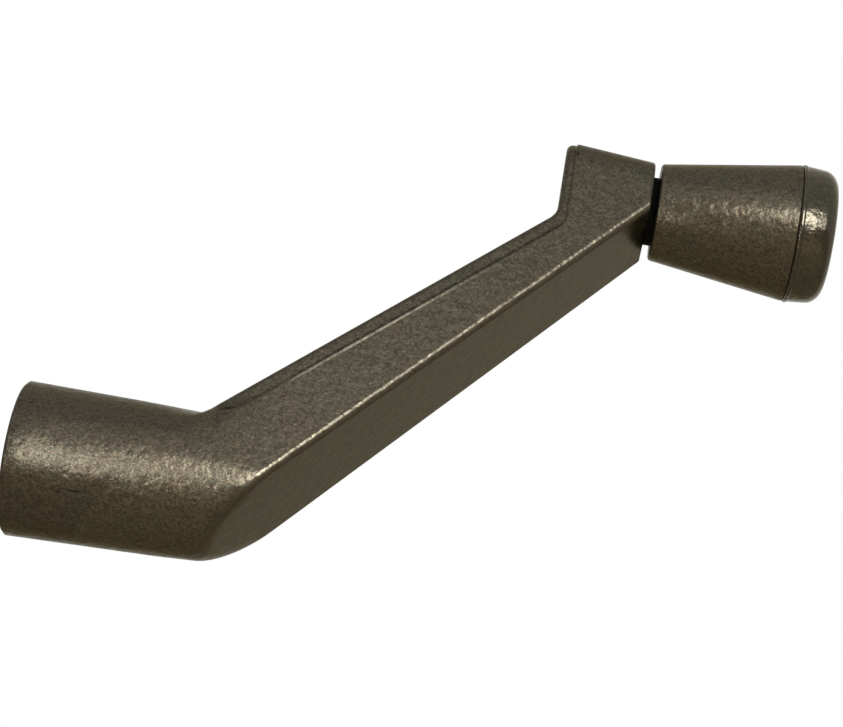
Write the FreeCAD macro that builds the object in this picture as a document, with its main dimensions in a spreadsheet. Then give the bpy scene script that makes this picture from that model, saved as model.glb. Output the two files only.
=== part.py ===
import FreeCAD, Part
import Sketcher
from FreeCAD import Vector

import math
import os
import re

# Crank handle of a window operator: a die-cast arm with a splined hub at one end and a turning knob
# at the other. The origin is the centre of the hub's open end face. +X runs along the hub into the
# part, +Z is the throw of the crank, and the handle is symmetric about the plane Y = 0 apart from
# its set screw, which sits on the +Y side of the hub.

os.makedirs("parts", exist_ok=True)
doc = FreeCAD.newDocument("crank_handle")
sheet = doc.addObject("Spreadsheet::Sheet", "Sizes")

# Driving dimensions, in millimetres and degrees
SIZES = {
    # Hub
    "hub_diameter": (19.1, "outside of the hub at its open end"),
    "hub_draft": (1.1, "degrees of taper on the hub"),
    "flank_at": (18.7, "where the arm's flat flanks begin to grow out of the hub"),
    "mouth_chamfer": (0.4, "chamfer round the open end"),
    # Arm, seen from the side
    "reach": (72.3, "open end of the hub to the face that the knob turns on"),
    "throw": (49.6, "hub axis to knob axis"),
    "front_at": (32.35, "open end to where the arm's front face would cross the hub axis"),
    "back_at": (16.05, "open end to where the arm's back face would cross it"),
    "front_drop": (3.95, "knob axis down to the end of the front face"),
    "heel_drop": (6.55, "knob axis down to the heel, where the arm's back meets the head's"),
    "heel_radius": (3.0, "rounding of the heel"),
    "ridge_radius": (0.9, "rounding of the front face's edges"),
    # Parting step along the back of the arm and the head
    "ledge_width": (2.1, "band that the step leaves along the arm"),
    "ledge_on_head": (1.15, "band that it leaves along the head"),
    "ledge_depth": (0.5, "how far the band lies below the broad sides"),
    "shoulder_drop": (2.9, "top of the hub down to where the band comes out of its side"),
    "lip_radius": (0.35, "rounding of the edge above the band"),
    # Blend of the hub into the arm
    "blend": (6.5, "hollow rounding from the hub to the flanks"),
    "layer_lap": (0.4, "how far the arm's layers start inside the hub"),
    "toe_radius": (4.0, "rounding of the front face's edge under the hub"),
    # Head
    "head_length": (11.65, "along the knob axis"),
    "head_width": (13.7, "across the head at the knob's end"),
    "head_rise": (5.4, "knob axis up to the top of the head at the knob's end"),
    "head_draft": (4.4, "degrees that the top falls towards the knob"),
    "head_round": (5.2, "rounding of the two top edges"),
    "corner_radius": (0.8, "rounding of the head's back edge"),
    "gap_radius": (0.4, "rounding round the face towards the knob"),
    # Splined socket
    "mouth_diameter": (11.2, "plain lead-in at the open end"),
    "mouth_depth": (4.0, "length of the lead-in"),
    "spline_minor": (8.4, "across the tips of the teeth"),
    "spline_major": (9.6, "across the bottoms of the spaces"),
    "spline_teeth": (20, "number of teeth"),
    "spline_land": (0.3, "flat at the bottom of each space"),
    "spline_side": (30.0, "degrees of a space's sides to its middle"),
    "spline_lap": (0.3, "how far each cut starts inside the teeth's tips"),
    "socket_depth": (18.0, "open end to the bottom of the socket"),
    # Set screw
    "screw_at": (9.5, "open end to the screw's axis"),
    "screw_diameter": (4.8, "over the thread"),
    "screw_length": (4.0, "end to end"),
    "screw_sink": (0.3, "hub's outside down to the screw"),
    "screw_hex": (2.4, "across the flats of its socket"),
    "screw_hex_depth": (2.0, "depth of the socket"),
    "screw_chamfer": (0.5, "chamfer of both ends"),
    # Spindle and its washers
    "journal_diameter": (4.8, "what the knob turns on"),
    "shank_diameter": (4.0, "what goes through the head"),
    "sink_diameter": (6.6, "countersink that the shank is peened into"),
    "rivet_diameter": (8.0, "head of the spindle, inside the knob"),
    "rivet_height": (1.8, "thickness of that head"),
    "rivet_chamfer": (0.5, "chamfer of that head"),
    "thrust_diameter": (8.9, "outside of the black washer in the gap"),
    "thrust_thickness": (0.85, "its thickness"),
    "keeper_diameter": (9.4, "outside of the steel washer inside the knob"),
    "keeper_thickness": (0.8, "its thickness"),
    # Knob
    "knob_narrow": (12.7, "diameter next to the head"),
    "knob_wide": (17.8, "diameter at the seam"),
    "knob_length": (18.0, "narrow end to the seam"),
    "knob_cavity": (12.8, "diameter of the hollow behind the cap"),
    "bearing_length": (9.0, "solid part that runs on the spindle"),
    "knob_edge": (0.35, "chamfer of the narrow end"),
    "seam_edge": (0.15, "chamfer of the wide end"),
    # Cap
    "bead_diameter": (18.05, "raised bead at the seam"),
    "bead_width": (0.7, "width of the bead"),
    "bead_edge": (0.08, "chamfer of its edges"),
    "cap_diameter": (17.75, "next to the bead"),
    "cap_end_diameter": (17.4, "at the end, before its edge is rounded"),
    "cap_height": (5.1, "seam to the crown"),
    "cap_dome": (0.35, "rise of the crown"),
    "cap_edge_radius": (2.2, "rounding of the end"),
    "cap_wall": (1.5, "wall of the cap"),
    "spigot_length": (3.0, "what is pressed into the knob"),
    # Fits, as gaps on one side
    "running_gap": (0.08, "between the spindle and what turns on it"),
    "end_play": (0.05, "at each end of the knob's bearing"),
    "slip_gap": (0.03, "round what is put in and stays"),
}

# Slack in millimetres: for finding an edge by its place, and for joining faces that touch along a line
FOUND = 0.01
JOINED = 0.001

for row, (alias, (size, meaning)) in enumerate(SIZES.items(), start=1):
    sheet.set(f"A{row}", alias)
    sheet.set(f"B{row}", str(size))
    sheet.set(f"C{row}", meaning)
    sheet.setAlias(f"B{row}", alias)
doc.recompute()

# Places worked out from them
HUB_RADIUS = "(hub_diameter / 2)"
FLANK_RADIUS = f"({HUB_RADIUS} - flank_at * tan(hub_draft))"
FRONT_END = "(throw - front_drop)"
FRONT_SLOPE = f"({FRONT_END} / (reach - front_at))"
HEAD_BACK = "(reach - head_length)"
HEAD_TOP = "(throw + head_rise)"
HEEL = "(throw - heel_drop)"
BACK_SLOPE = f"({HEEL} / ({HEAD_BACK} - back_at))"
SHOULDER = f"({FLANK_RADIUS} - shoulder_drop)"
KNOB_START = "(reach + thrust_thickness + end_play)"
BEARING_END = f"({KNOB_START} + bearing_length)"
KEEPER_START = f"({BEARING_END} + end_play)"
KEEPER_END = f"({KEEPER_START} + keeper_thickness)"
SEAM = f"({KNOB_START} + knob_length)"
CROWN = f"({SEAM} + cap_height)"
JOURNAL_BORE = "(journal_diameter / 2 + running_gap)"
SINK_END = f"({HEAD_BACK} + (sink_diameter - shank_diameter) / 2)"
SCREW_TOP = "(hub_diameter / 2 - screw_at * tan(hub_draft) - screw_sink)"
LAYER_START = "(flank_at - layer_lap)"
BEYOND = "(hub_diameter + throw + head_rise)"


def flank(x):
    """Half the width across the arm's broad sides at x. They touch the end of the hub all the way."""
    return f"({FLANK_RADIUS} - ({x} - flank_at) * ({FLANK_RADIUS} - head_width / 2) / (reach - flank_at))"


def on_sheet(text):
    """Write sizes such as reach as the sheet's own cells."""
    return re.sub(r"[a-z_]+", lambda word: "Sizes." + word[0] if word[0] in SIZES else word[0], text)


def now(text):
    """What an expression comes to with the sizes as they are."""
    return float(sheet.evalExpression(on_sheet(text)))


def new_body(name):
    body = doc.addObject("PartDesign::Body", name)
    body.Label = name
    return body


def new_sketch(body, plane, name, along="0", rise="0", out="0"):
    """A sketch on one of the body's own planes, moved along its axes x and y and out along its normal."""
    sketch = body.newObject("Sketcher::SketchObject", name)
    support = [feature for feature in body.Origin.OriginFeatures if feature.Role == plane][0]
    sketch.AttachmentSupport = [(support, "")]
    sketch.MapMode = "FlatFace"
    sketch.setExpression("AttachmentOffset.Base.x", on_sheet(along))
    sketch.setExpression("AttachmentOffset.Base.y", on_sheet(rise))
    sketch.setExpression("AttachmentOffset.Base.z", on_sheet(out))
    return sketch


def place_point(sketch, edge, end, corner):
    """Hold one end of an edge at a pair of expressions."""
    for kind, text in zip(("DistanceX", "DistanceY"), corner):
        held = sketch.addConstraint(Sketcher.Constraint(kind, -1, 1, edge, end, now(text)))
        sketch.setExpression(f"Constraints[{held}]", on_sheet(text))


def outline(sketch, corners, crown=None):
    """Close an outline through the corners. From the corner crown on, it is an arc centred on the x axis."""
    points = [Vector(now(x), now(y), 0) for x, y in corners]
    first = sketch.GeometryCount
    for number, start in enumerate(points):
        finish = points[(number + 1) % len(points)]
        if corners[number] == crown:
            half_chord = abs(finish.y - start.y)
            rise = abs(finish.x - start.x)
            radius = (half_chord ** 2 + rise ** 2) / (2 * rise)
            centre = Vector(max(start.x, finish.x) - radius, 0, 0)
            turns = sorted(math.atan2(point.y, point.x - centre.x) for point in (start, finish))
            sketch.addGeometry(Part.ArcOfCircle(Part.Circle(centre, Vector(0, 0, 1), radius), *turns))
        else:
            sketch.addGeometry(Part.LineSegment(start, finish))
    for number, corner in enumerate(corners):
        edge = first + number
        following = first + (number + 1) % len(corners)
        if corner == crown:
            sketch.addConstraint(Sketcher.Constraint("PointOnObject", edge, 3, -1))
            sketch.addConstraint(Sketcher.Constraint("Coincident", edge, 1, following, 1))
            sketch.addConstraint(Sketcher.Constraint("Coincident", edge, 2, edge - 1, 2))
            place_point(sketch, edge, 2, corner)
            continue
        if corners[(number + 1) % len(corners)] != crown:
            sketch.addConstraint(Sketcher.Constraint("Coincident", edge, 2, following, 1))
        place_point(sketch, edge, 1, corner)


def circle(sketch, x, y, diameter):
    """A round outline held at a pair of expressions."""
    edge = sketch.addGeometry(Part.Circle(Vector(now(x), now(y), 0), Vector(0, 0, 1), now(diameter) / 2))
    place_point(sketch, edge, 3, (x, y))
    held = sketch.addConstraint(Sketcher.Constraint("Diameter", edge, now(diameter)))
    sketch.setExpression(f"Constraints[{held}]", on_sheet(diameter))


def turned(body, name, corners, crown=None, cut=False, rise="0"):
    """Revolve an outline, given as x and radius, about a line along X at the height rise."""
    sketch = new_sketch(body, "XZ_Plane", name + "_outline", rise=rise)
    outline(sketch, corners, crown)
    feature = body.newObject("PartDesign::Groove" if cut else "PartDesign::Revolution", name)
    feature.Profile = sketch
    feature.ReferenceAxis = (sketch, ["H_Axis"])
    feature.Angle = 360
    doc.recompute()
    return feature


def cut_in(body, name, sketch, depth, towards_normal=False):
    """Pocket a sketch to a depth, away from its normal unless towards_normal."""
    pocket = body.newObject("PartDesign::Pocket", name)
    pocket.Profile = sketch
    pocket.Reversed = towards_normal
    pocket.setExpression("Length", on_sheet(depth))
    doc.recompute()
    return pocket


def rounded(body, name, base, radius, chosen):
    """Fillet the edges of base that chosen(edge) accepts."""
    edges = [f"Edge{n}" for n, edge in enumerate(base.Shape.Edges, start=1) if chosen(edge)]
    feature = body.newObject("PartDesign::Fillet", name)
    feature.Base = (base, edges)
    feature.setExpression("Radius", on_sheet(radius))
    doc.recompute()
    return feature


def chamfered(body, name, base, size, chosen):
    """Chamfer the edges of base that chosen(edge) accepts."""
    edges = [f"Edge{n}" for n, edge in enumerate(base.Shape.Edges, start=1) if chosen(edge)]
    feature = body.newObject("PartDesign::Chamfer", name)
    feature.Base = (base, edges)
    feature.setExpression("Size", on_sheet(size))
    doc.recompute()
    return feature


def near(a, b):
    return abs(a - b) < FOUND


def middle(edge):
    return edge.valueAt((edge.FirstParameter + edge.LastParameter) / 2)


def along_y(edge):
    return near(abs(edge.tangentAt(edge.FirstParameter).y), 1)


def along_circle(edge, radius):
    """Whether an edge is a whole circle of this radius."""
    return len(edge.Vertexes) == 1 and near(edge.Length, math.tau * now(radius))


# Crank arm: the hub, a turned and tapered boss that the front face cuts off
hub = new_body("hub")
hub_end = f"(front_at + hub_diameter / {FRONT_SLOPE})"
turned(hub, "hub_boss", [
    ("0", "0"),
    ("0", f"0 - {HUB_RADIUS}"),
    ("flank_at", f"0 - {FLANK_RADIUS}"),
    (hub_end, f"0 - {flank(hub_end)}"),
    (hub_end, "0"),
])
front_offcut = new_sketch(hub, "XZ_Plane", "front_offcut")
outline(front_offcut, [
    (f"(front_at - hub_diameter / {FRONT_SLOPE})", "0 - hub_diameter"),
    (hub_end, "hub_diameter"),
    (f"({hub_end} + hub_diameter)", "hub_diameter"),
    (f"({hub_end} + hub_diameter)", "0 - hub_diameter"),
])
hub_front = hub.newObject("PartDesign::Pocket", "hub_front")
hub_front.Profile = front_offcut
hub_front.Type = "ThroughAll"
hub_front.Midplane = True
doc.recompute()


def on_front(point):
    """Whether a point lies in the arm's front face."""
    return near(point.z, (point.x - now("front_at")) * now(FRONT_SLOPE))


def arm_layer(name, inset, head_inset, depth, back_radius):
    """One layer of the arm and head, drawn from the side and then trimmed to its width from above.

    inset and head_inset move its back edge in, along the arm and along the head, and depth moves its
    flanks in. back_radius rounds the edges round its back.
    """
    layer = new_body(name)
    side = new_sketch(layer, "XZ_Plane", name + "_side")
    head_back = f"({HEAD_BACK} + {head_inset})"
    heel = f"({HEEL} + {head_inset} * {BACK_SLOPE} - {inset} * sqrt(1 + {BACK_SLOPE} ^ 2))"
    outline(side, [
        ("front_at", "0"),
        ("reach", FRONT_END),
        ("reach", HEAD_TOP),
        (head_back, f"({HEAD_TOP} + (reach - {head_back}) * tan(head_draft))"),
        (head_back, heel),
        (f"({head_back} - ({heel} - {SHOULDER}) / {BACK_SLOPE})", SHOULDER),
        (LAYER_START, SHOULDER),
        (LAYER_START, "0"),
    ])
    slab = layer.newObject("PartDesign::Pad", name + "_slab")
    slab.Profile = side
    slab.Midplane = True
    slab.setExpression("Length", on_sheet("2 * hub_diameter"))

    above = new_sketch(layer, "XY_Plane", name + "_above")
    for hand in ("", "0 - "):
        outline(above, [
            ("0", f"{hand}({flank('0')} - {depth})"),
            ("2 * reach", f"{hand}({flank('2 * reach')} - {depth})"),
            ("2 * reach", f"{hand}2 * hub_diameter"),
            ("0", f"{hand}2 * hub_diameter"),
        ])
    trimmed = layer.newObject("PartDesign::Pocket", name + "_trimmed")
    trimmed.Profile = above
    trimmed.Type = "ThroughAll"
    trimmed.Midplane = True
    doc.recompute()

    domed = rounded(layer, name + "_domed", trimmed, "head_round", lambda edge: (
        min(vertex.Z for vertex in edge.Vertexes) > now(HEAD_TOP) - FOUND and not along_y(edge)))
    heeled = rounded(layer, name + "_heel", domed, "heel_radius", lambda edge: (
        along_y(edge) and near(middle(edge).x, now(head_back)) and middle(edge).z < now("throw")))
    rounded(layer, name + "_back_edges", heeled, back_radius, lambda edge: (
        middle(edge).x < now(head_back) + FOUND and middle(edge).z > FOUND
        and not along_y(edge) and not on_front(middle(edge))
        and not near(middle(edge).x, now(LAYER_START))))

    grown = doc.addObject("Part::Common", name + "_grown")
    grown.Base = layer
    grown.Tool = bell
    doc.recompute()
    return grown


# What the layers are kept inside: round the hub, and hollow where the hub grows into the flanks
bell = new_body("bell")
BLEND_END = "(flank_at + blend)"
bell_turned = turned(bell, "bell_turned", [
    ("0", "0"),
    ("0", f"0 - {HUB_RADIUS}"),
    ("flank_at", f"0 - {FLANK_RADIUS}"),
    (BLEND_END, f"0 - {flank(BLEND_END)}"),
    (BLEND_END, f"0 - {BEYOND}"),
    ("2 * reach", f"0 - {BEYOND}"),
    ("2 * reach", "0"),
])
rounded(bell, "bell_blend", bell_turned, "blend", lambda edge: (
    near(middle(edge).x, now(BLEND_END)) and along_circle(edge, flank(BLEND_END))))

shell = arm_layer("shell", "ledge_width", "ledge_on_head", "0", "lip_radius")
ledge = arm_layer("ledge", "0", "0", "ledge_depth", "corner_radius")

# The flanks touch the end of the hub along two lines, which a fuse of document objects can't join
casting = doc.addObject("Part::Feature", "casting")
casting.Shape = hub.Shape.multiFuse([shell.Shape, ledge.Shape], JOINED).removeSplitter()
doc.recompute()


def edge_rounding(edge, parameter):
    """Rounding of the front face's edge at one end of an edge. It is largest at the foot of the hub."""
    low = edge.valueAt(parameter).z < 0 - now(FLANK_RADIUS) / 2
    return now("toe_radius") if low else now("ridge_radius")


ridges = doc.addObject("Part::Fillet", "ridges")
ridges.Base = casting
ridges.Edges = [
    (number, edge_rounding(edge, edge.FirstParameter), edge_rounding(edge, edge.LastParameter))
    for number, edge in enumerate(casting.Shape.Edges, start=1)
    if on_front(middle(edge)) and not near(middle(edge).x, now("reach"))
]
doc.recompute()

crank_arm = new_body("crank_arm")
crank_arm.BaseFeature = ridges
doc.recompute()
mouth = chamfered(crank_arm, "mouth", crank_arm.Tip, "mouth_chamfer", lambda edge: near(middle(edge).x, 0))
gap_face = rounded(crank_arm, "gap_face", mouth, "gap_radius", lambda edge: (
    near(middle(edge).x, now("reach"))))

# Splined socket, its tooth spaces cut between the two diameters
turned(crank_arm, "socket", [
    ("0", "0"),
    ("0", "mouth_diameter / 2"),
    ("mouth_depth", "mouth_diameter / 2"),
    ("mouth_depth", "spline_minor / 2"),
    ("socket_depth", "spline_minor / 2"),
    ("socket_depth", "0"),
], cut=True)
space_outline = new_sketch(crank_arm, "YZ_Plane", "space_outline")
space_start = "(spline_minor / 2 - spline_lap)"
half_space = f"(spline_land / 2 + (spline_major / 2 - {space_start}) * tan(spline_side))"
outline(space_outline, [
    (f"0 - {half_space}", space_start),
    ("0 - spline_land / 2", "spline_major / 2"),
    ("spline_land / 2", "spline_major / 2"),
    (half_space, space_start),
])
space = cut_in(crank_arm, "space", space_outline, "socket_depth", towards_normal=True)
spline = crank_arm.newObject("PartDesign::PolarPattern", "spline")
spline.Originals = [space]
spline.Axis = (space_outline, ["N_Axis"])
spline.Angle = 360
spline.setExpression("Occurrences", on_sheet("spline_teeth"))
crank_arm.Tip = spline
doc.recompute()

screw_hole_outline = new_sketch(crank_arm, "XZ_Plane", "screw_hole_outline", along="screw_at")
circle(screw_hole_outline, "0", "0", "screw_diameter + 2 * slip_gap")
cut_in(crank_arm, "screw_hole", screw_hole_outline, "hub_diameter")
turned(crank_arm, "rivet_hole", [
    (HEAD_BACK, "0"),
    (HEAD_BACK, "sink_diameter / 2"),
    (SINK_END, "shank_diameter / 2"),
    (SINK_END, "shank_diameter / 2 + slip_gap"),
    ("reach", "shank_diameter / 2 + slip_gap"),
    ("reach", "0"),
], cut=True, rise="throw")

# Set screw: its outline is a radius and a height along Y
set_screw = new_body("set_screw")
screw_foot = f"({SCREW_TOP} - screw_length)"
screw_outline = new_sketch(set_screw, "XY_Plane", "screw_outline", along="screw_at")
outline(screw_outline, [
    ("0", screw_foot),
    ("screw_diameter / 2 - screw_chamfer", screw_foot),
    ("screw_diameter / 2", f"{screw_foot} + screw_chamfer"),
    ("screw_diameter / 2", f"{SCREW_TOP} - screw_chamfer"),
    ("screw_diameter / 2 - screw_chamfer", SCREW_TOP),
    ("0", SCREW_TOP),
])
screw_turned = set_screw.newObject("PartDesign::Revolution", "screw_turned")
screw_turned.Profile = screw_outline
screw_turned.ReferenceAxis = (screw_outline, ["V_Axis"])
screw_turned.Angle = 360
hexagon = new_sketch(set_screw, "XZ_Plane", "hexagon", along="screw_at", out=f"0 - {SCREW_TOP}")
SIXTH = 60
hex_corner = f"screw_hex / 2 / cos({SIXTH / 2})"
outline(hexagon, [
    (f"{hex_corner} * cos({turn})", f"{hex_corner} * sin({turn})") for turn in range(0, 360, SIXTH)
])
cut_in(set_screw, "hexagon_socket", hexagon, "screw_hex_depth", towards_normal=True)

# Spindle, peened into the back of the head
knob_spindle = new_body("knob_spindle")
spindle_turned = turned(knob_spindle, "spindle_turned", [
    (HEAD_BACK, "0"),
    (HEAD_BACK, "sink_diameter / 2"),
    (SINK_END, "shank_diameter / 2"),
    ("reach", "shank_diameter / 2"),
    ("reach", "journal_diameter / 2"),
    (KEEPER_END, "journal_diameter / 2"),
    (KEEPER_END, "rivet_diameter / 2"),
    (f"({KEEPER_END} + rivet_height)", "rivet_diameter / 2"),
    (f"({KEEPER_END} + rivet_height)", "0"),
], rise="throw")
chamfered(knob_spindle, "rivet_edge", spindle_turned, "rivet_chamfer", lambda edge: (
    near(middle(edge).x, now(f"{KEEPER_END} + rivet_height"))))


def washer(name, start, thickness, diameter):
    """A flat washer that the spindle's journal passes through."""
    body = new_body(name)
    end = f"({start} + {thickness})"
    turned(body, name + "_turned", [
        (start, JOURNAL_BORE),
        (start, f"{diameter} / 2"),
        (end, f"{diameter} / 2"),
        (end, JOURNAL_BORE),
    ], rise="throw")
    return body


thrust_washer = washer("thrust_washer", "reach", "thrust_thickness", "thrust_diameter")
spindle_washer = washer("spindle_washer", KEEPER_START, "keeper_thickness", "keeper_diameter")

# Knob: a tapered body with a bearing at its narrow end, closed by a pressed-in cap
knob_body = new_body("knob_body")
knob_turned = turned(knob_body, "knob_turned", [
    (KNOB_START, JOURNAL_BORE),
    (KNOB_START, "knob_narrow / 2"),
    (SEAM, "knob_wide / 2"),
    (SEAM, "knob_cavity / 2"),
    (BEARING_END, "knob_cavity / 2"),
    (BEARING_END, JOURNAL_BORE),
], rise="throw")
knob_start_edge = chamfered(knob_body, "knob_start_edge", knob_turned, "knob_edge", lambda edge: (
    near(middle(edge).x, now(KNOB_START)) and along_circle(edge, "knob_narrow / 2")))
chamfered(knob_body, "knob_seam_edge", knob_start_edge, "seam_edge", lambda edge: (
    near(middle(edge).x, now(SEAM)) and along_circle(edge, "knob_wide / 2")))

knob_cap = new_body("knob_cap")
spigot_start = f"({SEAM} - spigot_length)"
bead_end = f"({SEAM} + bead_width)"
cap_shoulder = f"({CROWN} - cap_dome)"
cap_ceiling = f"({CROWN} - cap_wall)"
spigot_radius = "(knob_cavity / 2 - slip_gap)"
cap_inside = f"({spigot_radius} - cap_wall)"
cap_rim = (cap_shoulder, "cap_end_diameter / 2")
cap_turned = turned(knob_cap, "cap_turned", [
    (spigot_start, cap_inside),
    (spigot_start, spigot_radius),
    (SEAM, spigot_radius),
    (SEAM, "bead_diameter / 2"),
    (bead_end, "bead_diameter / 2"),
    (bead_end, "cap_diameter / 2"),
    cap_rim,
    (CROWN, "0"),
    (cap_ceiling, "0"),
    (cap_ceiling, cap_inside),
], crown=cap_rim, rise="throw")
cap_edge = rounded(knob_cap, "cap_edge", cap_turned, "cap_edge_radius", lambda edge: (
    near(middle(edge).x, now(cap_shoulder)) and along_circle(edge, "cap_end_diameter / 2")))
chamfered(knob_cap, "bead_edges", cap_edge, "bead_edge", lambda edge: (
    along_circle(edge, "bead_diameter / 2")))

# Check and export
PIECES = (crank_arm, set_screw, knob_spindle, thrust_washer, spindle_washer, knob_body, knob_cap)
doc.recompute()
for made in doc.Objects:
    for fault in ("Invalid", "Error"):
        if fault in made.State:
            raise RuntimeError(f"{made.Name} is in the state {made.State}")
for piece in PIECES:
    if piece.Shape.isNull() or not piece.Shape.isValid():
        raise RuntimeError(f"{piece.Label} has no valid shape")
for piece in PIECES:
    piece.Shape.exportStep(os.path.join("parts", piece.Label + ".step"))
    print(f"{piece.Label}: {piece.Shape.Volume:.1f} cubic mm, {len(piece.Shape.Solids)} solid")
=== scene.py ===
# %% [markdown]
# # A crank handle for a window operator
#
# The handle is one die casting with a splined hub at its lower end, and a tapered knob that turns on
# a riveted spindle at its upper end. The casting and the knob have one dark bronze finish. The solids
# come from the CAD model, already in place, so this file gives them their surfaces, their light and
# the camera of the photograph. Lengths are in metres, and sizes written in millimetres carry MM.

# %% Load the frame
import math

import bmesh
import bpy
import numpy as np
from mathutils import Matrix, Vector


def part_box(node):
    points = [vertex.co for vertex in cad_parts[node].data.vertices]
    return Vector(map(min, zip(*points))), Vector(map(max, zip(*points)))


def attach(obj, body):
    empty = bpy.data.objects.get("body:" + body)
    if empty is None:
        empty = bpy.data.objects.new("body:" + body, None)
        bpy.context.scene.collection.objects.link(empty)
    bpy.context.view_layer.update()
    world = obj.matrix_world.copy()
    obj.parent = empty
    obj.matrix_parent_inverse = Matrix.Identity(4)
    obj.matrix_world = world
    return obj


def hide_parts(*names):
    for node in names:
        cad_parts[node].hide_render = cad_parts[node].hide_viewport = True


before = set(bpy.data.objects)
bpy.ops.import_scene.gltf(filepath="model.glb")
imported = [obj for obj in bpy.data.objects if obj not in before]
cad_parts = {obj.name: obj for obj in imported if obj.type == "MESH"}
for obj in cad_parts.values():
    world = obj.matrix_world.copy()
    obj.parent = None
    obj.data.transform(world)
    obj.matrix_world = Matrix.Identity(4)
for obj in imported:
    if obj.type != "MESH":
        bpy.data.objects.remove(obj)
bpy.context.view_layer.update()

MM = 0.001
print("nodes:", ", ".join(sorted(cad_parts)))

# %% [markdown]
# ## The camera
#
# The handle is seen from below and from nearly straight in front, with a long lens, and the picture
# is turned so that the hub runs downhill. A camera could be placed by eye, but then edges never quite
# meet those of the picture. So azimuth, elevation, roll and distance were worked out from the edges
# of the hub, the arm and the knob. A camera looks along its own -Z with +Y up, so its matrix is made
# of the three directions right, up and backwards.

# %% Camera
AZIMUTH, ELEVATION, ROLL = (math.radians(angle) for angle in (2.53, -29.33, 10.17))
DISTANCE = 331.3 * MM
AIM = Vector((46.75, 0, 21.84)) * MM
LENS_MM = 112.7
NEAREST = 10 * MM

ahead = Vector((
    -math.sin(AZIMUTH) * math.cos(ELEVATION),
    math.cos(AZIMUTH) * math.cos(ELEVATION),
    -math.sin(ELEVATION),
))
level_right = ahead.cross(Vector((0, 0, 1))).normalized()
level_up = level_right.cross(ahead)
right = level_right * math.cos(ROLL) + level_up * math.sin(ROLL)
up = level_up * math.cos(ROLL) - level_right * math.sin(ROLL)

camera_data = bpy.data.cameras.new("camera")
camera_data.lens = LENS_MM
camera_data.clip_start = NEAREST
camera = bpy.data.objects.new("camera", camera_data)
bpy.context.scene.collection.objects.link(camera)
turn = Matrix((right, up, -ahead)).transposed().to_4x4()
camera.matrix_world = Matrix.Translation(AIM - ahead * DISTANCE) @ turn
bpy.context.scene.camera = camera
bpy.context.scene.view_settings.view_transform = "Standard"
print("camera stands at, mm:", [round(value / MM) for value in camera.matrix_world.translation])

# %% [markdown]
# ## Turned pieces
#
# The knob and its cap are castings too, but both are bodies of revolution. Their edges are rounded
# by a few tenths of a millimetre, which is what catches the light beside the seam. The solids have
# plain chamfers there. A Bevel modifier would round every edge alike, so instead both pieces are
# drawn again as a profile that is turned about the knob's axis, with a radius for each edge. A
# profile is a list of points (x, radius) in the order that keeps the material on its right when seen
# with x to the right and the radius upwards. Then the faces look outwards, which shows in the
# printed volume: it is positive.

# %% A surface of revolution
SIDES = 256
SHARP = math.radians(25)


def arc(x, radius, size, start, finish, steps=8):
    """Points (x + size cos a, radius + size sin a), with a from start to finish in degrees."""
    turns = [math.radians(start + (finish - start) * step / steps) for step in range(steps + 1)]
    return [(x + size * math.cos(a), radius + size * math.sin(a)) for a in turns]


def turned(name, profile, axis_height, closed):
    """Turn a profile about the line y = 0, z = axis_height.

    The point (x, r) goes to (x, r sin t, axis_height + r cos t) for SIDES values of t round a full
    turn. A closed profile joins its last point to its first. An open one starts and ends on the
    axis, where each end is a single vertex with a fan of triangles.
    """
    points = np.array(profile)
    ring = points if closed else points[1:-1]
    t = np.arange(SIDES) * 2 * math.pi / SIDES
    x, r = ring[:, 0:1], ring[:, 1:2]
    grid = (x + 0 * t, r * np.sin(t), axis_height + r * np.cos(t))
    vertices = np.stack(grid, axis=2).reshape(-1, 3)

    rows = len(ring) if closed else len(ring) - 1
    row, side = np.meshgrid(np.arange(rows), np.arange(SIDES), indexing="ij")
    here, there = row * SIDES, (row + 1) % len(ring) * SIDES
    beside = (side + 1) % SIDES
    quads = np.stack([here + side, there + side, there + beside, here + beside], axis=2)
    faces = quads.reshape(-1, 4).tolist()
    if not closed:
        poles = [[points[0, 0], 0, axis_height], [points[-1, 0], 0, axis_height]]
        side = np.arange(SIDES)
        beside = (side + 1) % SIDES
        last, pole = rows * SIDES, np.full(SIDES, len(vertices))
        faces += np.stack([side, beside, pole], axis=1).tolist()
        faces += np.stack([last + beside, last + side, pole + 1], axis=1).tolist()
        vertices = np.vstack([vertices, poles])

    mesh = bpy.data.meshes.new(name)
    mesh.from_pydata((vertices * MM).tolist(), [], faces)
    mesh.shade_smooth()
    mesh.set_sharp_from_angle(angle=SHARP)
    piece = bpy.data.objects.new(name, mesh)
    bpy.context.scene.collection.objects.link(piece)
    return piece


def volume(piece):
    """Volume in cubic millimetres. It is positive when the faces look outwards."""
    solid = bmesh.new()
    solid.from_mesh(piece.data)
    inside = solid.calc_volume(signed=True) / MM ** 3
    solid.free()
    return inside


# %% The knob's body
low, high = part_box("knob_body")
KNOB_START, SEAM = low[0] / MM, high[0] / MM
KNOB_AXIS = (low[2] + high[2]) / 2 / MM
KNOB_WIDE = (high[2] - low[2]) / 2 / MM
KNOB_NARROW = 6.35
BORE = 2.48
BEARING = 9.0
CAVITY = 6.4
NARROW_EDGE = 0.4
SEAM_EDGE = 0.22

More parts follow.
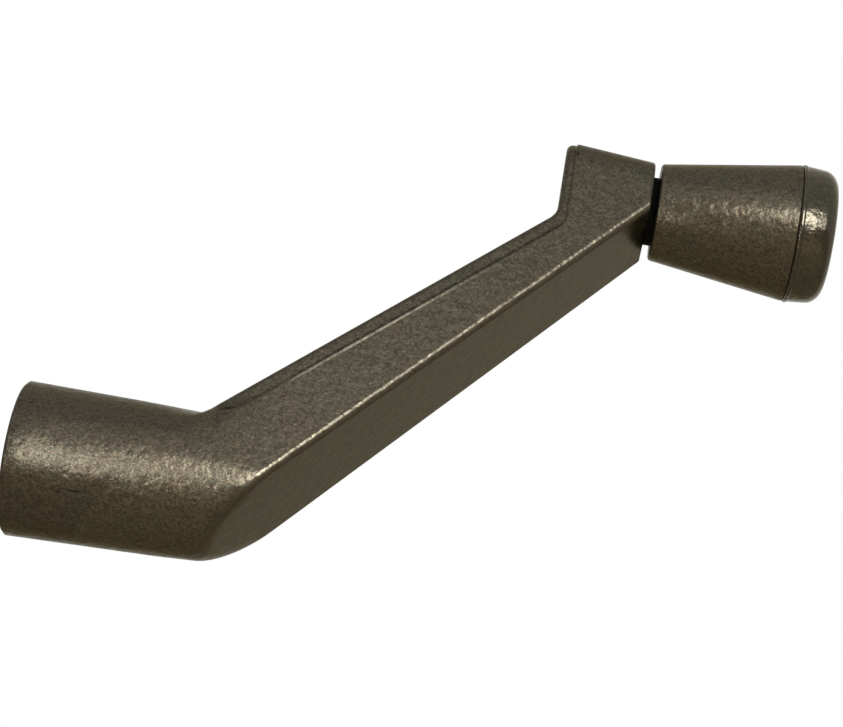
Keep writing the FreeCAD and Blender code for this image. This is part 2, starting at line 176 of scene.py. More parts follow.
slope = math.degrees(math.atan((KNOB_WIDE - KNOB_NARROW) / (SEAM - KNOB_START)))
narrow_round = arc(KNOB_START + NARROW_EDGE, KNOB_NARROW - NARROW_EDGE, NARROW_EDGE, 180, 90 + slope)
wide_round = arc(SEAM - SEAM_EDGE, KNOB_WIDE - SEAM_EDGE, SEAM_EDGE, 90 + slope, 0)
knob_profile = [
    (SEAM, CAVITY),
    (KNOB_START + BEARING, CAVITY),
    (KNOB_START + BEARING, BORE),
    (KNOB_START, BORE),
    *narrow_round,
    *wide_round,
]
knob_shell = turned("knob_shell", knob_profile, KNOB_AXIS, closed=True)
print("knob body, cubic mm:", round(volume(knob_shell)), "faces:", len(knob_shell.data.polygons))

# %% [markdown]
# The cap is pressed into the knob by a spigot. Outside it has a narrow raised bead at the seam, a
# short band that tapers a little, and a broad rounding into a slightly domed end. The dome is part of
# a large circle, so its light fades evenly. The rounding's centre is shifted a little from where a
# plain corner would have it, so that it runs smoothly into the tapered band and into the dome.

# %% The cap
low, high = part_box("knob_cap")
SPIGOT_START, CROWN = low[0] / MM, high[0] / MM
BEAD = (high[2] - low[2]) / 2 / MM
BEAD_WIDTH = 0.7
BEAD_EDGE = 0.3
BEAD_FOOT = 0.1
BEAD_TURN = 30
CAP_BAND = 8.875
CAP_END = 8.7
CAP_ROUND = 2.2
CAP_ROUND_SHIFT = 0.1, 0.02
CAP_DOME = 0.35
SPIGOT = 6.37
CAP_WALL = 1.5
BEAD_STEPS, ROUND_STEPS, DOME_POINTS = 4, 14, 8

taper = math.degrees(math.atan((CAP_BAND - CAP_END) / (CROWN - CAP_DOME - SEAM - BEAD_WIDTH)))
dome_radius = (CAP_END ** 2 + CAP_DOME ** 2) / (2 * CAP_DOME)
round_x = CROWN - CAP_DOME - CAP_ROUND + CAP_ROUND_SHIFT[0]
round_r = CAP_END - CAP_ROUND + CAP_ROUND_SHIFT[1]
lean = math.degrees(math.asin(round_r / (dome_radius - CAP_ROUND)))
dome_turns = np.radians(np.linspace(lean, 0, DOME_POINTS))[1:]
dome_x = CROWN - dome_radius + dome_radius * np.cos(dome_turns)
dome_r = dome_radius * np.sin(dome_turns)
cap_profile = [
    (CROWN - CAP_WALL, 0),
    (CROWN - CAP_WALL, SPIGOT - CAP_WALL),
    (SPIGOT_START, SPIGOT - CAP_WALL),
    (SPIGOT_START, SPIGOT),
    (SEAM, SPIGOT),
    *arc(SEAM + BEAD_EDGE, BEAD - BEAD_EDGE, BEAD_EDGE, 180, 90),
    *arc(SEAM + BEAD_WIDTH - BEAD_EDGE, BEAD - BEAD_EDGE, BEAD_EDGE, 90, BEAD_TURN, BEAD_STEPS),
    (SEAM + BEAD_WIDTH + BEAD_FOOT, CAP_BAND),
    *arc(round_x, round_r, CAP_ROUND, 90 - taper, lean, ROUND_STEPS),
    *zip(dome_x, dome_r),
]
knob_lid = turned("knob_lid", cap_profile, KNOB_AXIS, closed=False)
print("cap, cubic mm:", round(volume(knob_lid)), "faces:", len(knob_lid.data.polygons))

# %% Put both in place of their solids
for piece, node, slot in ((knob_shell, "knob_body", "bronze_paint"), (knob_lid, "knob_cap", "cap_paint")):
    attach(piece, "knob")
    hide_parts(node)
    print(piece.name, "replaces", node)

# %% [markdown]
# ## The casting
#
# A die casting has no crisp line where a round boss meets a flat side: the toolmaker blends it by
# hand, and the paint fills what is left. The solid has fillets there, but they meet in creases. The
# foot could be sculpted, but then its outline would wander off the drawing. So the casting is copied
# and its triangles are made small round the foot of the arm. Then two things are evened out, each by
# moving towards the mean of its neighbours again and again: the points on the flanks, in few steps,
# and the normals, in many. The points mostly slide along the surface. The surface itself moves by
# half a millimetre at most, in the corner above the hub. The normals decide how light falls, so the
# creases go while the rest of the outline stays where the drawing has it. Under the toe the edge is
# tighter, so fewer steps are taken there.

# %% Where the casting may be evened
FRONT_AT = 32.35
FRONT_TURN = math.radians(48.81)
FRONT_SIN, FRONT_COS = math.sin(FRONT_TURN), math.cos(FRONT_TURN)
SOCKET_CLEAR = 7
SOCKET_PAST = 19
# Limits in mm: where a weight is 0, then where it is 1. The first counts along x, the second from
# the sloping front backwards, and the others along z.
HUB_SIDE = 14, 18
FLANK_FRONT = 2.0, 4.5
FLANK_TOP = 12, 8
FLANK_BOTTOM = -7, -3.5
TOE = 0.0, -4.5


def between(value, start, finish):
    """0 at start, 1 at finish, and 3t^2 - 2t^3 between them, for arrays."""
    t = np.clip((value - start) / (finish - start), 0, 1)
    return t * t * (3 - 2 * t)


def foot_weights(points):
    """Weights from 0 to 1 of points in mm: how far they may move, and those of the flank and toe."""
    x, y, z = points.T
    behind_front = z * FRONT_COS - (x - FRONT_AT) * FRONT_SIN
    outside = between(x, *HUB_SIDE) * ((np.hypot(y, z) > SOCKET_CLEAR) | (x > SOCKET_PAST))
    flank = between(behind_front, *FLANK_FRONT) * between(z, *FLANK_TOP) * outside
    toe = between(z, *TOE) * outside
    return flank * between(z, *FLANK_BOTTOM), flank, toe


print("weights of a point on the flank:", foot_weights(np.array([[24.0, -9.0, 2.0]])))

# %% Read and even out arrays
def read(items, name, width, kind=np.float32):
    """One attribute of a collection as an array with width columns."""
    values = np.empty(len(items) * width, kind)
    items.foreach_get(name, values)
    return values.reshape(-1, width).astype(float if kind == np.float32 else int)


def unit(rows):
    """Each row divided by its length."""
    return rows / np.linalg.norm(rows, axis=1, keepdims=True)


def evened(values, weight, pairs, steps):
    """Move each row towards the mean of its neighbours, by half its weight at each step."""
    here, there = np.concatenate([pairs, pairs[:, ::-1]]).T
    count = np.bincount(here, minlength=len(values))[:, None]
    for _ in range(steps):
        totals = [np.bincount(here, column[there], len(values)) for column in values.T]
        mean = np.stack(totals, axis=1) / count
        values = values + weight[:, None] * (mean - values) / 2
    return values


print("a row of length 1:", unit(np.array([[3.0, 4.0]])))

# %% [markdown]
# A CAD mesh is loose triangles, so the copy is merged first. Each round halves the edges that are
# still longer than FINE where the foot is free. A triangle with one halved edge is cut in two at
# once, because the triangles would otherwise be filled in from corners that lie in one line.

# %% A finer copy of the casting
WELD = 0.001 * MM
FINE = 0.5
ROUNDS = 8


def refined_copy(name, node):
    """A merged copy of a solid's mesh, with no edge longer than FINE mm where the foot is free."""
    mesh = bpy.data.meshes.new(name)
    solid = bmesh.new()
    solid.from_mesh(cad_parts[node].data)
    bmesh.ops.remove_doubles(solid, verts=solid.verts, dist=WELD)
    solid.to_mesh(mesh)
    solid.free()
    for _ in range(ROUNDS):
        points = read(mesh.vertices, "co", 3) / MM
        pairs = read(mesh.edges, "vertices", 2, np.int32)
        lengths = np.linalg.norm(points[pairs[:, 0]] - points[pairs[:, 1]], axis=1)
        free = sum(foot_weights(points))[pairs].max(axis=1) > 0
        picked = np.flatnonzero(free & (lengths > FINE))
        if len(picked) == 0:
            break
        solid = bmesh.new()
        solid.from_mesh(mesh)
        solid.edges.ensure_lookup_table()
        long_edges = [solid.edges[index] for index in picked]
        bmesh.ops.subdivide_edges(
            solid, edges=long_edges, cuts=1, use_single_edge=True, use_grid_fill=True
        )
        bmesh.ops.triangulate(solid, faces=solid.faces)
        solid.to_mesh(mesh)
        solid.free()
    return mesh


mesh = refined_copy("arm_casting", "crank_arm")
print("casting, triangles:", len(mesh.polygons), "vertices:", len(mesh.vertices))

# %% Even points
POINT_STEPS = 50

points = read(mesh.vertices, "co", 3)
pairs = read(mesh.edges, "vertices", 2, np.int32)
free_points, flank, toe = foot_weights(points / MM)
even_points = evened(points, free_points, pairs, POINT_STEPS)
mesh.vertices.foreach_set("co", even_points.ravel())
mesh.shade_smooth()
mesh.set_sharp_from_angle(angle=SHARP)
arm_casting = bpy.data.objects.new("arm_casting", mesh)
bpy.context.scene.collection.objects.link(arm_casting)
moved = np.linalg.norm(even_points - points, axis=1).max() / MM
print("farthest move of a point, mostly along the surface, mm:", round(float(moved), 2))

# %% [markdown]
# Now the normals. A Weighted Normal modifier makes the large flat faces decide first, so that the
# small triangles of a fillet don't tilt them. Its result is made into the mesh, because the next
# step starts from it. Each corner of a triangle then gets a normal between its own and the evened
# one, by the weight of its vertex.

# %% Even normals
NORMAL_STEPS = 500
TOE_STEPS = 40

even = arm_casting.modifiers.new("even_normals", "WEIGHTED_NORMAL")
even.keep_sharp = True
evaluated = arm_casting.evaluated_get(bpy.context.evaluated_depsgraph_get())
arm_casting.data = bpy.data.meshes.new_from_object(evaluated)
arm_casting.modifiers.clear()

corners = read(arm_casting.data.corner_normals, "vector", 3)
owner = read(arm_casting.data.loops, "vertex_index", 1, np.int32).ravel()
normals = np.stack([np.bincount(owner, column, len(points)) for column in corners.T], axis=1)
normals = evened(unit(normals), flank, pairs, NORMAL_STEPS)
normals = unit(evened(normals, toe, pairs, TOE_STEPS))
share = np.maximum(flank, toe)[owner][:, None]
arm_casting.data.normals_split_custom_set(unit(corners * (1 - share) + normals[owner] * share))

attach(arm_casting, "crank")
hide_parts("crank_arm")
print("casting, cubic mm:", round(volume(arm_casting)), "faces:", len(arm_casting.data.polygons))

# %% [markdown]
# ## Colours and nodes
#
# Colours are written as sRGB hex, the way a paint card or a screen gives them, and turned to linear
# values once. Materials could be wired by hand in the editor, but written out they can be read and
# changed in one place. One small function adds a node, gives it its settings and links what feeds
# it. Short names stand for the kinds and settings that come often.

# %% One function for every node
MATHS = "ShaderNodeMath"
VECTORS = "ShaderNodeVectorMath"
RANGE = "ShaderNodeMapRange"
MIX = "ShaderNodeMix"
NOISE = "ShaderNodeTexNoise"
SHADER = "ShaderNodeBsdfPrincipled"
PLUS = {"operation": "ADD"}
TIMES = {"operation": "MULTIPLY"}
TIMES_PLUS = {"operation": "MULTIPLY_ADD"}
LESS = {"operation": "SUBTRACT"}
OVER = {"operation": "DIVIDE"}
LARGER = {"operation": "MAXIMUM"}
FOLD = {"operation": "ABSOLUTE"}
SCALE = {"operation": "SCALE"}
LENGTH = {"operation": "LENGTH"}
DOT = {"operation": "DOT_PRODUCT"}
SOFT = {"interpolation_type": "SMOOTHSTEP"}
COLOURS = {"data_type": "RGBA"}


def linear(hex_colour):
    """sRGB hex to linear RGBA: c / 12.92 up to 0.04045, else ((c + 0.055) / 1.055) to the power 2.4."""
    parts = [int(hex_colour[i:i + 2], 16) / 255 for i in (1, 3, 5)]
    return [c / 12.92 if c <= 0.04045 else ((c + 0.055) / 1.055) ** 2.4 for c in parts] + [1.0]


def add_node(tree, kind, settings=None, out=0, **inputs):
    """Add one node and give back its output with the index or name out.

    settings are the node's own properties. inputs are values or outputs of other nodes. A name
    stands for the input with that name, with _ for a space, and _3 for the input with index 3.
    """
    node = tree.nodes.new(kind)
    for name, value in (settings or {}).items():
        setattr(node, name, value)
    for name, value in inputs.items():
        key = int(name[1:]) if name.startswith("_") else name.replace("_", " ")
        socket = node.inputs[key]
        if isinstance(value, bpy.types.NodeSocket):
            tree.links.new(value, socket)
        else:
            socket.default_value = value
    return node.outputs[out] if node.outputs else None


def new_material(name):
    """A material with an empty tree, and that tree."""
    material = bpy.data.materials.new(name)
    material.use_nodes = True
    material.node_tree.nodes.clear()
    return material, material.node_tree


print("mid grey in linear values:", [round(value, 3) for value in linear("#808080")])

# %% [markdown]
# ## Dark bronze paint
#
# The casting and the knob are sprayed with a bronze metallic paint and baked. Three things make it
# up. Fine metal flakes, each at its own tilt, give a speckle a few tenths of a millimetre across.
# The skin has dried with a slight orange peel, so a highlight on it breaks up into bright threads.
# And the tone wanders a little between olive and a pinkish brown. Real flakes are under 0.1 mm, which
# is less than the picture shows, so they are drawn in clumps. The sloping front of the arm has the
# fullest coat, which flowed flat before it dried, so its grain is weaker. Voronoi cells stand for the
# flakes, because each cell has one colour of its own, and noise makes all that is soft.

# %% Tone and skin of the paint
FLAKE = 0.22
GRAIN = 0.34
PEEL = 1.1
BLOTCH = 5.0
BLOTCH_SHARE = 0.3
GRAIN_SHARE = -0.1, 0.8


def paint_tone(tree, place, olive, brown, speckle):
    """Two colours in soft blotches and fine grain, each flake up to speckle lighter or darker."""
    blotch = add_node(tree, NOISE, Vector=place, Scale=1 / BLOTCH, Detail=3)
    blotch = add_node(tree, RANGE, SOFT, Value=blotch, _1=0.35, _2=0.65, _4=BLOTCH_SHARE)
    grain = add_node(tree, NOISE, Vector=place, Scale=1 / GRAIN, Detail=1)
    grain = add_node(tree, RANGE, SOFT, Value=grain, _1=0.3, _2=0.7, _3=GRAIN_SHARE[0], _4=GRAIN_SHARE[1])
    hue = add_node(tree, MATHS, PLUS, _0=blotch, _1=grain)
    tone = add_node(tree, MIX, COLOURS, out=2, _0=hue, _6=linear(olive), _7=linear(brown))
    flake = add_node(tree, "ShaderNodeTexVoronoi", out="Color", Vector=place, Scale=1 / FLAKE)
    flake = add_node(tree, "ShaderNodeSeparateColor", _0=flake)
    flake = add_node(tree, RANGE, Value=flake, _3=-1.0, _4=1.0)
    light = add_node(tree, MATHS, TIMES_PLUS, _0=flake, _1=speckle, _2=1.0)
    return add_node(tree, VECTORS, SCALE, _0=tone, Scale=light)


def orange_peel(tree, place, depth):
    """Normals of the skin: a fine and a broad wave of equal slope. depth is the fine one's, in m."""
    fine = add_node(tree, NOISE, Vector=place, Scale=1 / GRAIN, Detail=2)
    broad = add_node(tree, NOISE, Vector=place, Scale=1 / PEEL, Detail=1)
    height = add_node(tree, MATHS, TIMES_PLUS, _0=broad, _1=PEEL / GRAIN, _2=fine)
    return add_node(tree, "ShaderNodeBump", Strength=1.0, Distance=depth, Height=height)


print("flakes in a centimetre:", round(10 / FLAKE), "waves of orange peel:", round(10 / PEEL))

# %% [markdown]
# Along the two long edges of the arm a pale colour is painted in a broken line. It is a painted
# highlight where the edges catch the light, broken up the way paint is where hands rub it thin. The
# step beside the upper edge and the recessed ledge beside it are painted darker: painted shade, with
# some dirt in the step. Dirt also lies in a scratch on the hub and in a few pits. The socket was
# plugged while the hub was sprayed, so it is bare zinc. A node that finds edges by itself would find
# them all alike. These two are straight lines, on flanks that taper towards the knob, so each is
# found from its distance to two planes. Both flanks are alike, so the flank's plane takes y without
# its sign.

# %% Distances and masks
FLANK_TAPER = 0.04368
FLANK_EDGE = 9.191 + 18.7 * FLANK_TAPER
LIP_TURN = math.atan(0.96525)
LIP_SIN, LIP_COS = math.sin(LIP_TURN), math.cos(LIP_TURN)
LIP_X, LIP_Z = 61.8, 41.241


def from_plane(tree, place, across, constant):
    """Distance in mm from a plane: the dot product with the direction across it, and a constant."""
    along = add_node(tree, VECTORS, DOT, out="Value", _0=place, _1=across)
    return add_node(tree, MATHS, PLUS, _0=along, _1=constant)


def mask(tree, *limits, most=1.0):
    """A mask up to most. Each limit is (value, where the mask is 0, where it is whole)."""
    whole = most
    for value, none, full in limits:
        step = add_node(tree, RANGE, SOFT, Value=value, _1=none, _2=full)
        whole = add_node(tree, MATHS, TIMES, _0=step, _1=whole)
    return whole


print("the step runs uphill at, degrees:", round(math.degrees(LIP_TURN), 1))

# %% [markdown]
# Each mask is a product of soft limits. The pale line on the front edge, a painted highlight, lies a
# little behind the front and has a faint halo of painted sheen. The painted highlight on the upper
# edge fades before the head. A noise of about half a millimetre breaks both lines up, as rubbed paint
# does, and eats into the mouth of the socket. The darkening in the step and on the ledge is painted
# shade.

# %% Painted highlight, painted shade and wear of the arm
PATCH = 0.6
# Limits in mm: where a mask is 0, then where it is whole. LINE and HALO count from the front, LIP,
# STEP and LEDGE from the step, SIDE from the flank, and ALONG, START and STOP along x.
LINE_NEAR, LINE_FAR, LINE_SHARE = (0.4, 0.55), (0.85, 0.7), 0.3
HALO_NEAR, HALO_FAR, HALO_SHARE = (0.0, 0.2), (0.8, 0.6), 0.14
FRONT_SIDE, FRONT_ALONG = (1.0, 0.7), (26.0, 31.0)
LIP_SIDE, LIP_NEAR, LIP_FAR = (0.5, 0.3), (-0.58, -0.4), (0.02, -0.16)
LIP_START, LIP_STOP = (30.0, 36.0), (57.0, 44.0)
STEP_SIDE, STEP_NEAR, STEP_FAR, STEP_START = (0.3, 0.5), (0.0, 0.1), (0.6, 0.2), (27.0, 34.0)
LEDGE_SIDE, LEDGE_NEAR, LEDGE_SHARE = (0.3, 0.45), (0.0, 0.2), 0.15
SOCKET_EDGE, SOCKET_END, SOCKET_MOUTH = (6.2, 5.8), (19.0, 18.5), (0.6, 1.8)
# Scratches and pits: centre and half sizes of an ellipsoid, in mm.
MARKS = (
    ((9.1, -6.8, -6.45), (1.2, 1.0, 0.1)),
    ((7.2, -6.6, -6.75), (0.5, 1.0, 0.08)),
    ((2.0, -8.9, 3.3), (0.35, 1.0, 0.16)),
    ((27.5, -5.5, -7.1), (0.3, 1.0, 0.12)),
    ((62.1, -7.3, 52.1), (0.25, 1.0, 0.5)),
)
MARK_EDGE, MARK_SHARE = (1.1, 0.6), 0.85


def arm_light_shade_and_wear(tree, place):
    """Masks of painted highlights on the edges, broken up like rubbed paint; of painted shade in the step
    and on the ledge, with dirt in the step and in the marks; and of bare metal.
    """
    x = add_node(tree, "ShaderNodeSeparateXYZ", _0=place)
    folded = add_node(tree, VECTORS, FOLD, _0=place)
    flank = from_plane(tree, folded, (-FLANK_TAPER, -1, 0), FLANK_EDGE)
    front = from_plane(tree, place, (-FRONT_SIN, 0, FRONT_COS), FRONT_AT * FRONT_SIN)
    lip = from_plane(tree, place, (-LIP_SIN, 0, LIP_COS), LIP_X * LIP_SIN - LIP_Z * LIP_COS)
    patchy = add_node(tree, NOISE, Vector=place, Scale=1 / PATCH, Detail=3)

    # Painted highlight: the line and its halo lighten the front edge as if it caught the light; the upper
    # edge gets a painted highlight too.
    line = mask(tree, (front, *LINE_NEAR), (front, *LINE_FAR), most=LINE_SHARE)
    halo = mask(tree, (front, *HALO_NEAR), (front, *HALO_FAR), most=HALO_SHARE)
    front_edge = add_node(tree, MATHS, PLUS, _0=line, _1=halo)
    front_edge = mask(tree, (flank, *FRONT_SIDE), (x, *FRONT_ALONG), most=front_edge)
    upper_edge = mask(tree, (flank, *LIP_SIDE), (lip, *LIP_NEAR), (lip, *LIP_FAR))
    upper_edge = mask(tree, (x, *LIP_START), (x, *LIP_STOP), most=upper_edge)
    broken_line = add_node(tree, RANGE, SOFT, Value=patchy, _1=0.35, _2=0.6, _3=0.25)
    highlight_and_rub = add_node(tree, MATHS, LARGER, _0=front_edge, _1=upper_edge)
    highlight_and_rub = add_node(tree, MATHS, TIMES, _0=highlight_and_rub, _1=broken_line)

    # Painted shade: the step and the ledge are darkened, in patches in the step, where some dirt lies too.
    # The marks below are dirt.
    step_patches = add_node(tree, RANGE, SOFT, Value=patchy, _1=0.3, _2=0.6, _3=0.5, _4=0.9)
    step = mask(tree, (flank, *STEP_SIDE), (lip, *STEP_NEAR), (lip, *STEP_FAR), most=step_patches)
    step = mask(tree, (x, *STEP_START), most=step)
    ledge = mask(tree, (flank, *LEDGE_SIDE), (lip, *LEDGE_NEAR), most=LEDGE_SHARE)
    shade_and_dirt = add_node(tree, MATHS, LARGER, _0=step, _1=ledge)
    for centre, half_sizes in MARKS:
        away = add_node(tree, VECTORS, LESS, _0=place, _1=centre)
        away = add_node(tree, VECTORS, OVER, _0=away, _1=half_sizes)
        away = add_node(tree, VECTORS, LENGTH, out="Value", _0=away)
        mark = mask(tree, (away, *MARK_EDGE), most=MARK_SHARE)
        shade_and_dirt = add_node(tree, MATHS, LARGER, _0=shade_and_dirt, _1=mark)

    from_axis = add_node(tree, VECTORS, TIMES, _0=place, _1=(0, 1, 1))
    from_axis = add_node(tree, VECTORS, LENGTH, out="Value", _0=from_axis)
    mouth = add_node(tree, MATHS, PLUS, _0=x, _1=patchy)
    bare = mask(tree, (from_axis, *SOCKET_EDGE), (x, *SOCKET_END), (mouth, *SOCKET_MOUTH))
    return highlight_and_rub, shade_and_dirt, bare


print("scratches and pits:", len(MARKS))

# %% [markdown]
# The paint itself is one shader. Its flakes make it mostly metallic, so its colour tints what it
# mirrors, and the metal keeps the usual IOR. A thin clear film over the flakes adds a white
# reflection to the bronze one. The cap's film is thicker and smoother, so its highlight is nearly
# white and sharp.

# %% Three batches of paint
# Painted highlight: a pale colour along the two long edges, broken up like rubbed paint.
HIGHLIGHT_AND_RUB = "#807A6A"
# Painted shade: a near-black in the step beside the upper edge and on the ledge, with some dirt in the step;
# the marks are dirt.
SHADE_AND_DIRT = "#0E0D0B"
BARE_ZINC = "#8C8B86"
EDGE_TINT = "#C4BEAE"
EDGE_REFLECTION = 0.08
FRONT_FACING = 0.3, 0.6
FRONT_GRAIN = 0.35
FLAKE_COVER = 0.85
UNEVEN_GLOSS = 0.05


def bronze_paint(name, olive, brown, roughness, speckle, depth, film, overlays=None):
    """Bronze paint. depth is that of the skin in mm, film is how much clear film lies over it."""
    material, tree = new_material(name)
    place = add_node(tree, "ShaderNodeTexCoord", out="Object")
    place = add_node(tree, VECTORS, SCALE, _0=place, Scale=1 / MM)
    facing = add_node(tree, "ShaderNodeNewGeometry", out="Normal")
    facing = add_node(tree, "ShaderNodeSeparateXYZ", _0=facing)
    start, finish = FRONT_FACING
    calm = add_node(tree, RANGE, SOFT, Value=facing, _1=start, _2=finish, _3=1.0, _4=FRONT_GRAIN)
    amount = add_node(tree, MATHS, TIMES, _0=calm, _1=speckle)
    tone = paint_tone(tree, place, olive, brown, amount)
    if overlays is not None:
        # The first two colours are a painted highlight along the edges and painted shade in the step and on
        # the ledge.
        for share, colour in zip(overlays(tree, place), (HIGHLIGHT_AND_RUB, SHADE_AND_DIRT, BARE_ZINC)):
            tone = add_node(tree, MIX, COLOURS, out=2, _0=share, _6=tone, _7=linear(colour))
    uneven = add_node(tree, NOISE, Vector=place, Scale=1 / PEEL, Detail=3)
    glossy, dull = roughness - UNEVEN_GLOSS, roughness + UNEVEN_GLOSS
    gloss = add_node(tree, RANGE, SOFT, Value=uneven, _1=0.3, _2=0.7, _3=glossy, _4=dull)
    skin = orange_peel(tree, place, add_node(tree, MATHS, TIMES, _0=calm, _1=depth * MM))
    surface = add_node(
        tree, SHADER, Base_Color=tone, Metallic=FLAKE_COVER, Roughness=gloss, Normal=skin,
        Specular_Tint=linear(EDGE_TINT), Specular_IOR_Level=EDGE_REFLECTION,
        Coat_Weight=film, Coat_Roughness=roughness, Coat_Normal=skin,
    )
    add_node(tree, "ShaderNodeOutputMaterial", Surface=surface)
    return material


# Sprayed on a rough casting and baked: satin, with a strong speckle, and on the arm painted highlights along
# the edges and painted shade in the step.
casting_paint = bronze_paint("dark_bronze_paint", "#3C3A2F", "#3F372C", 0.32, 0.4, 0.032, 0.15, arm_light_shade_and_wear)
# The same paint on a smoother casting: a little flatter and finer.
knob_paint = bronze_paint("dark_bronze_knob_paint", "#3C3A2F", "#3F372C", 0.31, 0.4, 0.027, 0.12)
# A fuller, greener batch with a thick film: a sharp white highlight.
cap_paint = bronze_paint("dark_bronze_gloss", "#353327", "#363025", 0.18, 0.34, 0.03, 0.34)
print("nodes in the casting's paint:", len(casting_paint.node_tree.nodes))

# %% [markdown]
# ## Plastic, steel and the screw
#
# The thrust washer is black acetal, a slippery plastic that needs no oil and stays dull. The spindle
# and the washer inside the knob are zinc-plated steel, bright with cloudy patches. The set screw has
# a black oxide skin, so thin that the grain of the steel shows through. Each could have its own
# tree, but all three are one recipe: cloudy colour, uneven gloss and a fine bump.

# %% Finishes without paint
CLOUD = 1.0
CLOUD_RANGE = 0.2, 0.8
CLOUD_DARK, CLOUD_LIGHT = 0.7, 1.3
CLOUD_GLOSS = 0.08


def plain_finish(name, colour, metallic, roughness, depth, reflection=0.5):
    """A finish without paint. roughness is its mean and depth, in mm, is that of its grain."""
    material, tree = new_material(name)
    place = add_node(tree, "ShaderNodeTexCoord", out="Object")
    place = add_node(tree, VECTORS, SCALE, _0=place, Scale=1 / MM)
    cloud = add_node(tree, NOISE, Vector=place, Scale=1 / CLOUD, Detail=3)
    low, high = CLOUD_RANGE
    light = add_node(tree, RANGE, SOFT, Value=cloud, _1=low, _2=high, _3=CLOUD_DARK, _4=CLOUD_LIGHT)
    tone = add_node(tree, VECTORS, SCALE, _0=linear(colour)[:3], Scale=light)
    dull, glossy = roughness + CLOUD_GLOSS, roughness - CLOUD_GLOSS
    gloss = add_node(tree, RANGE, SOFT, Value=cloud, _1=low, _2=high, _3=dull, _4=glossy)
    grain = orange_peel(tree, place, depth * MM)
    surface = add_node(
        tree, SHADER, Base_Color=tone, Metallic=metallic, Roughness=gloss, Normal=grain,
        Specular_IOR_Level=reflection,
    )
    add_node(tree, "ShaderNodeOutputMaterial", Surface=surface)
    return material


# Cut from sheet and dull. It is near black and nearly without reflection: partly its own black, partly
# painted shade of the deep gap it sits in.
washer_plastic_and_gap_shade = plain_finish("black_acetal_and_gap_shade", "#040404", 0.0, 0.85, 0.004, reflection=0.05)
# Turned and plated: pale, cloudy and fairly smooth.
zinc_steel = plain_finish("zinc_plated_steel", "#A8A7A2", 1.0, 0.3, 0.003)
# Turned and blackened in a bath: dark, with a duller shine.
black_oxide = plain_finish("black_oxide_steel", "#2C2B2A", 1.0, 0.45, 0.003)
print("nodes in each plain finish:", len(zinc_steel.node_tree.nodes))

# %% [markdown]
# The pieces that still have their CAD surface get their finish in the slots of their own mesh. The
# three new pieces have one slot each. The cap's paint is a glossier batch than the rest.

# %% Dress the pieces
def dress(node, material):
    """Give a CAD node its material in every slot."""
    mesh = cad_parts[node].data
    if not mesh.materials:
        mesh.materials.append(material)
    for slot in range(len(mesh.materials)):
        mesh.materials[slot] = material


dress("thrust_washer", washer_plastic_and_gap_shade)
dress("knob_spindle", zinc_steel)
dress("spindle_washer", zinc_steel)
dress("set_screw", black_oxide)
arm_casting.data.materials.append(casting_paint)
knob_shell.data.materials.append(knob_paint)
knob_lid.data.materials.append(cap_paint)
print("finishes:", ", ".join(sorted(material.name for material in bpy.data.materials)))

# %% [markdown]
# ## Light and background
#
# The picture has a white background with nothing in it. So the world is plain white, to the camera
# and in reflections. Other light from it is a little weaker, which brings a colour out about as it
# is written.

# %% World
OTHER_LIGHT = 0.9

world = bpy.data.worlds.new("studio")
world.use_nodes = True
bpy.context.scene.world = world
tree = world.node_tree
tree.nodes.clear()
seen = 0.0
for ray in ("Is Camera Ray", "Is Glossy Ray", "Is Transmission Ray"):
    path = add_node(tree, "ShaderNodeLightPath", out=ray)
    seen = add_node(tree, MATHS, LARGER, _0=path, _1=seen)
strength = add_node(tree, RANGE, Value=seen, _3=OTHER_LIGHT, _4=1.0)
back = add_node(tree, "ShaderNodeBackground", Color=linear("#FFFFFF"), Strength=strength)
add_node(tree, "ShaderNodeOutputWorld", Surface=back)
print("world light apart from what is seen:", OTHER_LIGHT)

# %% [markdown]
# A highlight on a surface of known shape gives away the direction of its lamp, and that is how the
# lamps were placed, rather than by eye. The key makes the patch on the cap and the band on the knob.
# The side light draws the line along the front edge. The hub has a small lamp of its own close by.

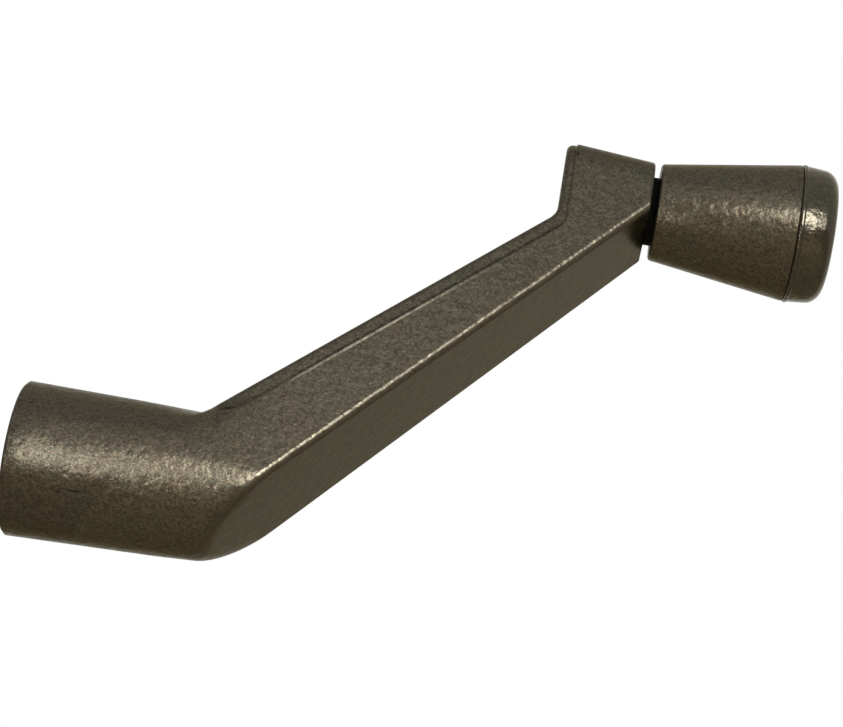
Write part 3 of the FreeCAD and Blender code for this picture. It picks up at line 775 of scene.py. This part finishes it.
# %% Lamps
def softbox(name, azimuth, elevation, distance, width, height, watts, at=AIM):
    """A rectangular lamp that looks at a point from an azimuth and an elevation."""
    azimuth, elevation = math.radians(azimuth), math.radians(elevation)
    towards = Vector((
        math.sin(azimuth) * math.cos(elevation),
        -math.cos(azimuth) * math.cos(elevation),
        math.sin(elevation),
    ))
    lamp = bpy.data.lights.new(name, "AREA")
    lamp.shape = "RECTANGLE"
    lamp.size = width
    lamp.size_y = height
    lamp.energy = watts
    holder = bpy.data.objects.new(name, lamp)
    holder.visible_camera = False
    bpy.context.scene.collection.objects.link(holder)
    facing = towards.to_track_quat("Z", "Y").to_matrix().to_4x4()
    holder.matrix_world = Matrix.Translation(at + towards * distance) @ facing


HUB = Vector((12, -9, -2)) * MM
softbox("key", azimuth=11, elevation=-2.5, distance=0.6, width=0.2, height=0.2, watts=3.4)
softbox("front_fill", azimuth=-5, elevation=28, distance=0.6, width=0.3, height=0.2, watts=0.15)
softbox("side_light", azimuth=34, elevation=0, distance=0.6, width=0.15, height=0.15, watts=0.65)
softbox("hub_light", azimuth=-13, elevation=-17, distance=0.13, width=0.026, height=0.062, watts=0.1, at=HUB)
print("lamps:", ", ".join(lamp.name for lamp in bpy.data.lights))

# %% [markdown]
# The floor is plain, pale and well below the handle. The picture looks up, so it doesn't show. What
# shows is its warm light on the underside of the hub and the knob.

# %% Floor
FLOOR = -0.32
REACH = 3.0

floor_mesh = bpy.data.meshes.new("floor")
floor_corners = [(-REACH, -REACH, FLOOR), (REACH, -REACH, FLOOR), (REACH, REACH, FLOOR),
                 (-REACH, REACH, FLOOR)]
floor_mesh.from_pydata(floor_corners, [], [(0, 1, 2, 3)])
floor = bpy.data.objects.new("floor", floor_mesh)
bpy.context.scene.collection.objects.link(floor)
floor_material, tree = new_material("pale_floor")
paper = add_node(tree, SHADER, Base_Color=linear("#CBBFA4"), Roughness=0.8)
add_node(tree, "ShaderNodeOutputMaterial", Surface=paper)
floor_mesh.materials.append(floor_material)
print("floor below the hub, mm:", round(-FLOOR / MM))
